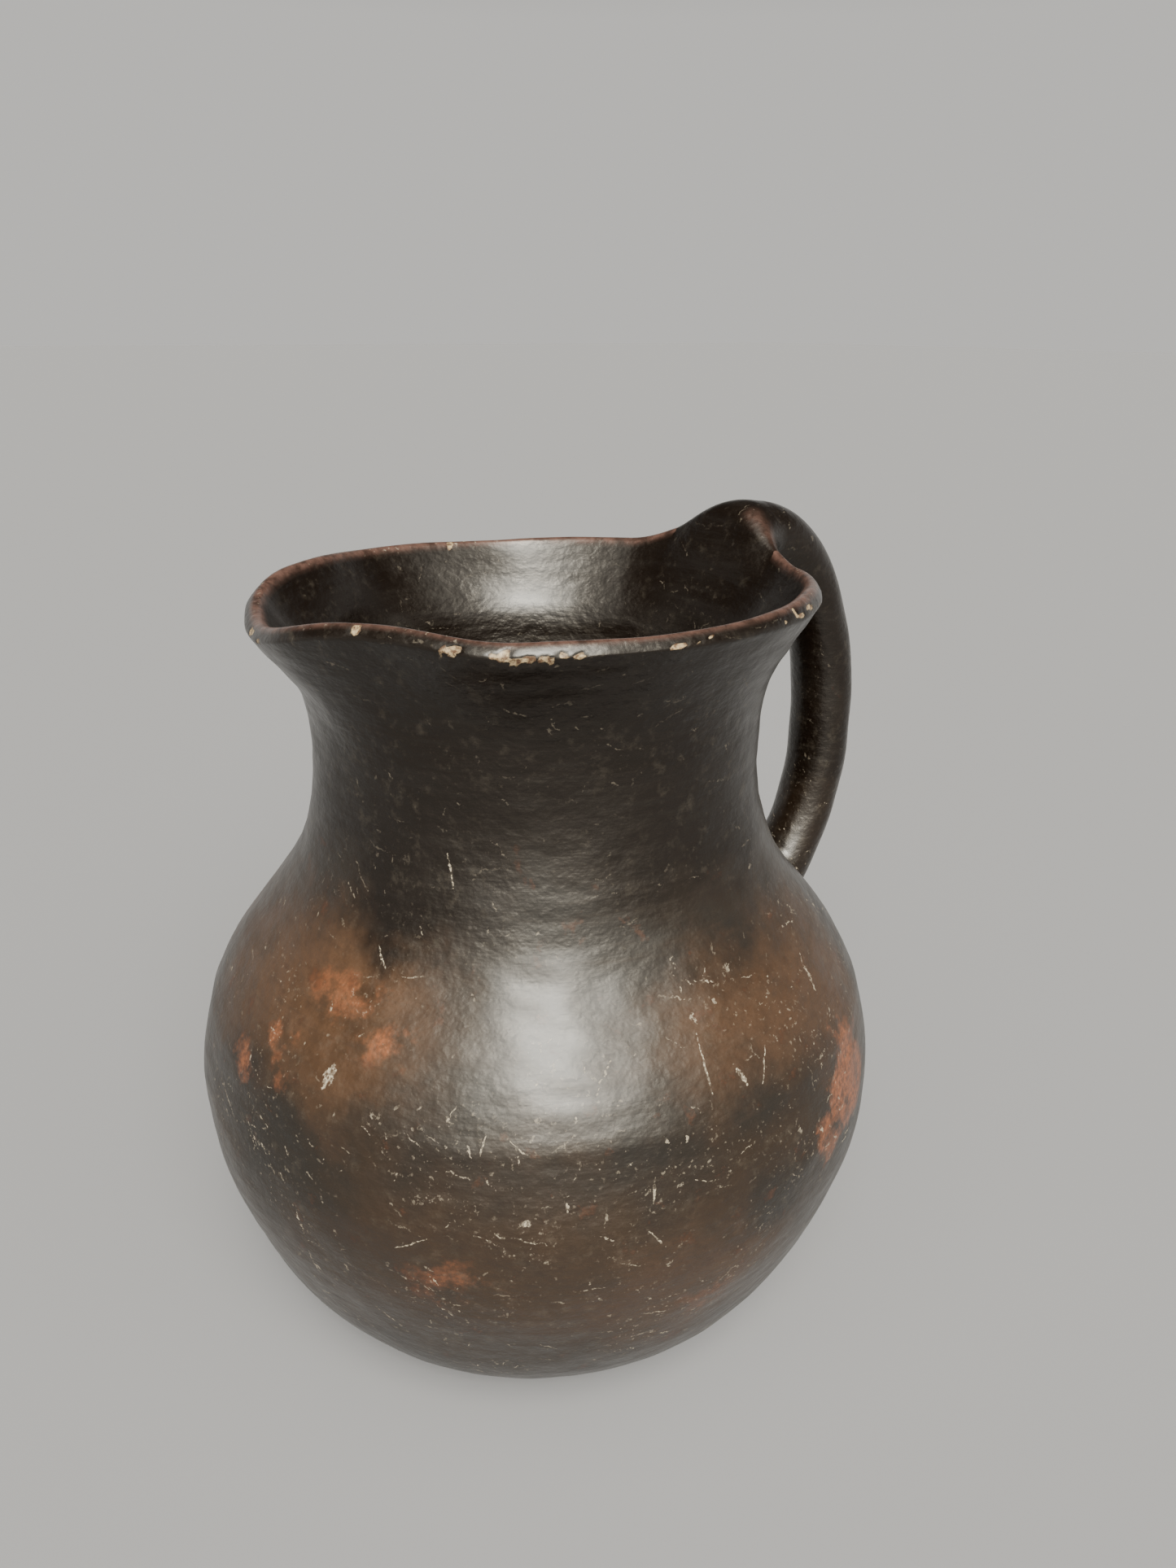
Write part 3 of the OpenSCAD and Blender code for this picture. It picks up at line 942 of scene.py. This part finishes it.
def fired_colour(n, by, dark):
    """Smoky tones, fire clouds, a painted reflection at the belly's right-hand edge, burnishing
    streaks and dust.
    """
    level = n.math("ADD", by.height, n.span(by.broad, 0.3, 0.7, -26, 26))
    smoke = n.most(n.span(level, 122, 152), dark)
    colour = n.mix(n.span(by.broad, 0.35, 0.68), SOOT, BROWN)
    for *where, strength in BROWN_CLOUDS:
        share = n.both(n.cloud(*where), n.span(by.mottle, 0.25, 0.75, 0.45, 1.0), strength)
        colour = n.mix(share, colour, TAN)
    for *where, strength in SOOT_CLOUDS:
        colour = n.mix(n.both(n.cloud(*where), strength), colour, SOOT)
    # Orange fire clouds; the two on the belly's right-hand edge are partly a painted reflection
    for *where, strength in ORANGE_CLOUDS_AND_REFLECTION:
        share = n.math("ADD", n.cloud(*where), n.span(by.mottle, 0.3, 0.7, -0.5, 0.3))
        share = n.both(n.span(share, 0.2, 1.2), n.span(by.fine, 0.36, 0.6, 0.45, 1.0), strength)
        colour = n.mix(share, colour, ORANGE)
    colour = n.mix(smoke, colour, BLACK)
    colour = n.mix(n.span(by.streak, 0.5, 0.78, 0.0, 0.35), colour, n.mix(smoke, BROWN, SOOT))
    colour = n.mix(n.span(by.mottle, 0.54, 0.68, 0.0, 0.45), colour, BLACK)
    dust = n.both(n.span(by.fine, 0.60, 0.72), by.dusty, n.span(by.height, 140, 100, 0.05, 0.36))
    scuffs = n.span(n.noise(4.0, 5.0, 0.7, seed=41), 0.52, 0.72)
    scuffs = n.both(scuffs, n.span(by.broad, 0.4, 0.6), 0.05)
    return n.mix(n.math("ADD", dust, scuffs), colour, WORN)


def scratched(n, by):
    """Where the pale scratches, nicks and single marks are, 0 to 1."""
    ragged = n.math("MULTIPLY", n.math("SUBTRACT", n.noise(2.6, 2.0, 0.6, seed=17), 0.5), 2.4)
    gaps = n.span(n.noise(0.8, 2.0, 0.6, seed=27), 0.42, 0.56)
    low = n.span(by.height, 150, 108, 0.25, 1.0)
    marks = n.most(n.scratches(3.6, 1.7, 0.3, 0.36, 11.0, ragged),
                   n.scratches(7.0, 3.6, 0.22, 0.55, 29.0, ragged, (0.4, 0.4, 1)),
                   n.scratches(14.0, 7.0, 0.24, 0.4, 53.0, ragged))
    marks = n.both(marks, n.span(by.patchy, 0.36, 0.54, 0.15, 1.0), low, gaps)
    nicks = n.both(n.scratches(1.9, 0.5, 0.5, 0.17, 71.0, ragged), by.dusty, gaps,
                   n.span(by.height, 140, 112, 0.0, 1.0))
    single = n.most(*(n.mark(*mark, n.math("MULTIPLY", ragged, 0.45)) for mark in MARKS))
    single = n.both(single, n.span(by.fine, 0.38, 0.5, 0.1, 1.0), n.span(gaps, 0, 1, 0.35, 1.0))
    return n.math("ADD", n.most(n.both(marks, 0.8), single), n.both(nicks, 0.8), clamp=True)


def chipped(n, by):
    """Where the lip is chipped, from the mesh, with a ragged outline."""
    chip = n.add("ShaderNodeAttribute", attribute_name="chip").outputs["Fac"]
    return n.span(n.math("ADD", chip, n.span(by.fine, 0.3, 0.7, -0.15, 0.15)), 0.3, 0.55)


def rubbed_and_sheen_colour(n, by, colour):
    """A colour with the lip rubbed to the pink clay, and the root's crest painted pink as rubbed
    clay with a painted sheen.
    """
    edge = n.add("ShaderNodeAttribute", attribute_name="edge").outputs["Fac"]
    # The root's crest joins the lip's band: a pink line that is partly rubbed clay and partly a
    # painted sheen
    edge = n.most(edge, n.both(n.line(*ROOT_CREST_WEAR_AND_SHEEN, 2.2, 5.0), 0.5))
    worn = n.span(n.noise(3.5, 4.0, 0.65, seed=91), 0.3, 0.66, 0.25, 0.85)
    colour = n.mix(n.both(edge, worn), colour, PINK)
    flecks = n.both(edge, n.span(by.fine, 0.62, 0.7), n.span(by.patchy, 0.45, 0.6), 0.7)
    return n.mix(flecks, colour, WORN)


def clay_relief(n, by, wear, chip):
    """Fine relief in millimetres: skin, burnishing lines, crisp creases, scratches and chips."""
    lines = n.noise(1.0, 3.0, 0.6, place=n.stretched(0.06, 0.06, 0.9), seed=15)
    skin = n.noise(1.0, 2.0, 0.5, place=n.stretched(0.30, 0.30, 0.44), seed=61)
    relief = n.math("MULTIPLY", skin, 0.42)
    relief = n.plus(relief, n.math("ADD", by.streak, lines), 0.07)
    relief = n.plus(relief, by.fine, 0.09)
    wavy = n.math("ADD", by.height, n.span(by.patchy, 0.3, 0.7, -0.8, 0.8))
    for joint, steeper in CREASES:
        below = n.math("MINIMUM", n.math("SUBTRACT", wavy, joint), 0)
        fade = n.math("EXPONENT", n.math("DIVIDE", below, CREASE_FADE))
        fade = n.both(fade, n.span(by.broad, 0.3, 0.6, 1.0, 0.5))
        relief = n.plus(relief, n.both(below, fade), steeper)
    relief = n.plus(relief, wear, -0.10)
    return n.plus(relief, n.both(chip, n.noise(0.7, 3.0, seed=81)), 0.25)


def make_clay(name, dark):
    """Burnished clay; dark is how black it is all over."""
    material = bpy.data.materials.new(name)
    n = Nodes(material)
    by = clay_noises(n)
    wear, chip = scratched(n, by), chipped(n, by)
    colour = n.mix(wear, fired_colour(n, by, dark), WORN)
    bare = n.mix(n.span(by.fine, 0.35, 0.65), BARE, TAN)
    colour = n.mix(chip, rubbed_and_sheen_colour(n, by, colour), bare)
    n.put(n.shader.inputs["Base Color"], colour)

    rough = n.math("ADD", n.span(by.mottle, 0.3, 0.7, -0.04, 0.05),
                   n.span(by.streak, 0.4, 0.7, -0.03, 0.05))
    rough = n.math("ADD", rough, 0.45 - 0.12 * dark)
    rough = n.math("ADD", rough, n.both(n.most(wear, chip), 0.4), clamp=True)
    n.put(n.shader.inputs["Roughness"], rough)
    n.shader.inputs["IOR"].default_value = 1.30
    n.shader.inputs["Specular Tint"].default_value = (1.0, 0.92, 0.81, 1)
    n.shader.inputs["Coat Weight"].default_value = 0.4
    n.shader.inputs["Coat Roughness"].default_value = 0.24
    n.shader.inputs["Coat IOR"].default_value = 1.38

    relief = clay_relief(n, by, wear, chip)
    uneven = n.add("ShaderNodeBump", {"Height": relief, "Strength": 0.9, "Distance": MM})
    n.put(n.shader.inputs["Normal"], uneven.outputs["Normal"])
    return material


def plain_material(name, colour, roughness):
    material = bpy.data.materials.new(name)
    material.use_nodes = True
    shader = material.node_tree.nodes["Principled BSDF"]
    shader.inputs["Base Color"].default_value = (*colour, 1)
    shader.inputs["Roughness"].default_value = roughness
    return material


def make_stage():
    """A plain pale floor and soft studio light."""
    side = FLOOR_HALF * MM
    mesh = bpy.data.meshes.new("floor")
    mesh.from_pydata([(-side, -side, 0), (side, -side, 0), (side, side, 0), (-side, side, 0)],
                     [], [(0, 1, 2, 3)])
    floor = bpy.data.objects.new("floor", mesh)
    mesh.materials.append(plain_material("pale_floor", FLOOR_COLOUR, FLOOR_ROUGH))
    bpy.context.scene.collection.objects.link(floor)
    world = bpy.data.worlds.new("studio")
    world.use_nodes = True
    tree = world.node_tree
    up = tree.nodes.new("ShaderNodeSeparateXYZ")
    tree.links.new(tree.nodes.new("ShaderNodeTexCoord").outputs["Generated"], up.inputs[0])
    ramp = tree.nodes.new("ShaderNodeValToRGB")
    ends = ((HORIZON, SKY_LOW), (SKY, SKY_HIGH))
    for end, (colour, position) in zip(ramp.color_ramp.elements, ends):
        end.color = (*colour, 1)
        end.position = position
    tree.links.new(up.outputs[2], ramp.inputs["Fac"])
    tree.links.new(ramp.outputs["Color"], tree.nodes["Background"].inputs["Color"])
    bpy.context.scene.world = world
    for name, *how in SUNS:
        make_sun(name, SUNS_ROUND, *how)


# ---------------------------------------------------------------- assembly
make_camera()
make_stage()
parts = build_wall()
parts["handle"] = build_handle()
for node, blend, at_mouth, low, high in LUTES:
    parts[node] = build_lute(node, blend, at_mouth, low, high)
clays = {slot: make_clay(slot, dark) for slot, dark in DARK.items()}
SLOTS = {"rim_and_spout": "rim_clay", "handle": "handle_clay", "handle_root_lute": "handle_clay",
         "handle_foot_lute": "handle_clay"}
for node, part in parts.items():
    slot = SLOTS.get(node, "body_clay")
    part.data.materials.append(clays[slot])
    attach(part, "root")
    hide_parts(node)
